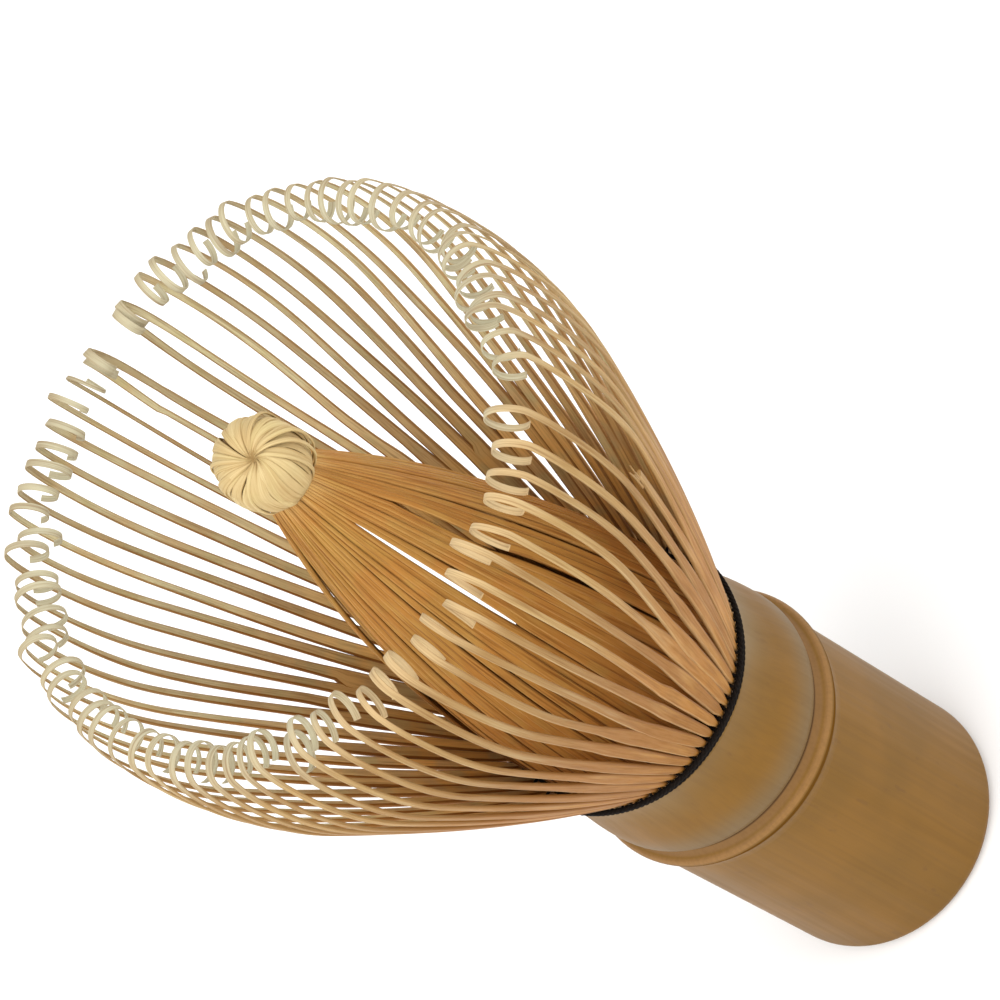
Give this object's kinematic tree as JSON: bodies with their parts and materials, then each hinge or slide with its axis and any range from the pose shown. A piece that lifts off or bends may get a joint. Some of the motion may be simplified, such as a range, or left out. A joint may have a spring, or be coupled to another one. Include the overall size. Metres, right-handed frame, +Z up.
{
  "type": "bamboo tea whisk",
  "caption": "Bamboo tea whisk with a ring of fine curled outer tines, a knotted inner cone of tines, a binding thread and a hollow culm handle with a raised node.",
  "frame": {"origin": "centre of the handle's flat base", "axes": "+Z up the culm from the base towards the tine tips; the tines are spaced evenly round Z"},
  "size_m": [0.0532, 0.0532, 0.1031],
  "materials": {
    "culm_skin": "satin bamboo skin",
    "outer_bamboo": "split bamboo, satin",
    "inner_bamboo": "split bamboo, satin",
    "pale_bamboo": "shaved bamboo, satin",
    "thread": "matt twisted cotton"
  },
  "bodies": {
    "handle": {"handle_culm": "culm_skin", "inner_tines_01": "inner_bamboo", "inner_tines_02": "inner_bamboo", "inner_tines_03": "inner_bamboo", "inner_tines_04": "inner_bamboo", "inner_tines_05": "inner_bamboo", "inner_tines_06": "inner_bamboo", "inner_tines_07": "inner_bamboo", "inner_tines_08": "inner_bamboo", "inner_tines_09": "inner_bamboo", "inner_tines_10": "inner_bamboo", "inner_tines_11": "inner_bamboo", "inner_tines_12": "inner_bamboo", "inner_tines_13": "inner_bamboo", "inner_tines_14": "inner_bamboo", "inner_tines_15": "inner_bamboo", "inner_tines_16": "inner_bamboo", "tip_knot": "pale_bamboo", "binding_thread": "thread"},
    "outer_sector_01": {"outer_tines_01": "outer_bamboo"},
    "outer_sector_02": {"outer_tines_02": "outer_bamboo"},
    "outer_sector_03": {"outer_tines_03": "outer_bamboo"},
    "outer_sector_04": {"outer_tines_04": "outer_bamboo"},
    "outer_sector_05": {"outer_tines_05": "outer_bamboo"},
    "outer_sector_06": {"outer_tines_06": "outer_bamboo"},
    "outer_sector_07": {"outer_tines_07": "outer_bamboo"},
    "outer_sector_08": {"outer_tines_08": "outer_bamboo"},
    "outer_sector_09": {"outer_tines_09": "outer_bamboo"},
    "outer_sector_10": {"outer_tines_10": "outer_bamboo"},
    "outer_sector_11": {"outer_tines_11": "outer_bamboo"},
    "outer_sector_12": {"outer_tines_12": "outer_bamboo"},
    "outer_sector_13": {"outer_tines_13": "outer_bamboo"},
    "outer_sector_14": {"outer_tines_14": "outer_bamboo"},
    "outer_sector_15": {"outer_tines_15": "outer_bamboo"},
    "outer_sector_16": {"outer_tines_16": "outer_bamboo"}
  },
  "joints": [
    {"name": "flex_01", "type": "hinge", "parent": "handle", "child": "outer_sector_01", "pos_m": [0.01171, 0.00245, 0.04582], "axis": [0.2052, -0.9787, 0], "range_deg": [-3, 2], "stiffness_Nm_per_rad": 0.02},
    {"name": "flex_02", "type": "hinge", "parent": "handle", "child": "outer_sector_02", "pos_m": [0.00973, 0.00695, 0.04582], "axis": [0.5811, -0.8138, 0], "range_deg": [-3, 2], "stiffness_Nm_per_rad": 0.02},
    {"name": "flex_03", "type": "hinge", "parent": "handle", "child": "outer_sector_03", "pos_m": [0.00612, 0.01027, 0.04582], "axis": [0.8591, -0.5119, 0], "range_deg": [-3, 2], "stiffness_Nm_per_rad": 0.02},
    {"name": "flex_04", "type": "hinge", "parent": "handle", "child": "outer_sector_04", "pos_m": [0.00197, 0.0118, 0.04582], "axis": [0.9864, -0.1646, 0], "range_deg": [-3, 2], "stiffness_Nm_per_rad": 0.02},
    {"name": "flex_05", "type": "hinge", "parent": "handle", "child": "outer_sector_05", "pos_m": [-0.00245, 0.01171, 0.04582], "axis": [0.9787, 0.2052, 0], "range_deg": [-3, 2], "stiffness_Nm_per_rad": 0.02},
    {"name": "flex_06", "type": "hinge", "parent": "handle", "child": "outer_sector_06", "pos_m": [-0.00695, 0.00973, 0.04582], "axis": [0.8138, 0.5811, 0], "range_deg": [-3, 2], "stiffness_Nm_per_rad": 0.02},
    {"name": "flex_07", "type": "hinge", "parent": "handle", "child": "outer_sector_07", "pos_m": [-0.01027, 0.00612, 0.04582], "axis": [0.5119, 0.8591, 0], "range_deg": [-3, 2], "stiffness_Nm_per_rad": 0.02},
    {"name": "flex_08", "type": "hinge", "parent": "handle", "child": "outer_sector_08", "pos_m": [-0.0118, 0.00197, 0.04582], "axis": [0.1646, 0.9864, 0], "range_deg": [-3, 2], "stiffness_Nm_per_rad": 0.02},
    {"name": "flex_09", "type": "hinge", "parent": "handle", "child": "outer_sector_09", "pos_m": [-0.01171, -0.00245, 0.04582], "axis": [-0.2052, 0.9787, 0], "range_deg": [-3, 2], "stiffness_Nm_per_rad": 0.02},
    {"name": "flex_10", "type": "hinge", "parent": "handle", "child": "outer_sector_10", "pos_m": [-0.00973, -0.00695, 0.04582], "axis": [-0.5811, 0.8138, 0], "range_deg": [-3, 2], "stiffness_Nm_per_rad": 0.02},
    {"name": "flex_11", "type": "hinge", "parent": "handle", "child": "outer_sector_11", "pos_m": [-0.00612, -0.01027, 0.04582], "axis": [-0.8591, 0.5119, 0], "range_deg": [-3, 2], "stiffness_Nm_per_rad": 0.02},
    {"name": "flex_12", "type": "hinge", "parent": "handle", "child": "outer_sector_12", "pos_m": [-0.00197, -0.0118, 0.04582], "axis": [-0.9864, 0.1646, 0], "range_deg": [-3, 2], "stiffness_Nm_per_rad": 0.02},
    {"name": "flex_13", "type": "hinge", "parent": "handle", "child": "outer_sector_13", "pos_m": [0.00245, -0.01171, 0.04582], "axis": [-0.9787, -0.2052, 0], "range_deg": [-3, 2], "stiffness_Nm_per_rad": 0.02},
    {"name": "flex_14", "type": "hinge", "parent": "handle", "child": "outer_sector_14", "pos_m": [0.00695, -0.00973, 0.04582], "axis": [-0.8138, -0.5811, 0], "range_deg": [-3, 2], "stiffness_Nm_per_rad": 0.02},
    {"name": "flex_15", "type": "hinge", "parent": "handle", "child": "outer_sector_15", "pos_m": [0.01027, -0.00612, 0.04582], "axis": [-0.5119, -0.8591, 0], "range_deg": [-3, 2], "stiffness_Nm_per_rad": 0.02},
    {"name": "flex_16", "type": "hinge", "parent": "handle", "child": "outer_sector_16", "pos_m": [0.0118, -0.00197, 0.04582], "axis": [-0.1646, -0.9864, 0], "range_deg": [-3, 2], "stiffness_Nm_per_rad": 0.02}
  ]
}
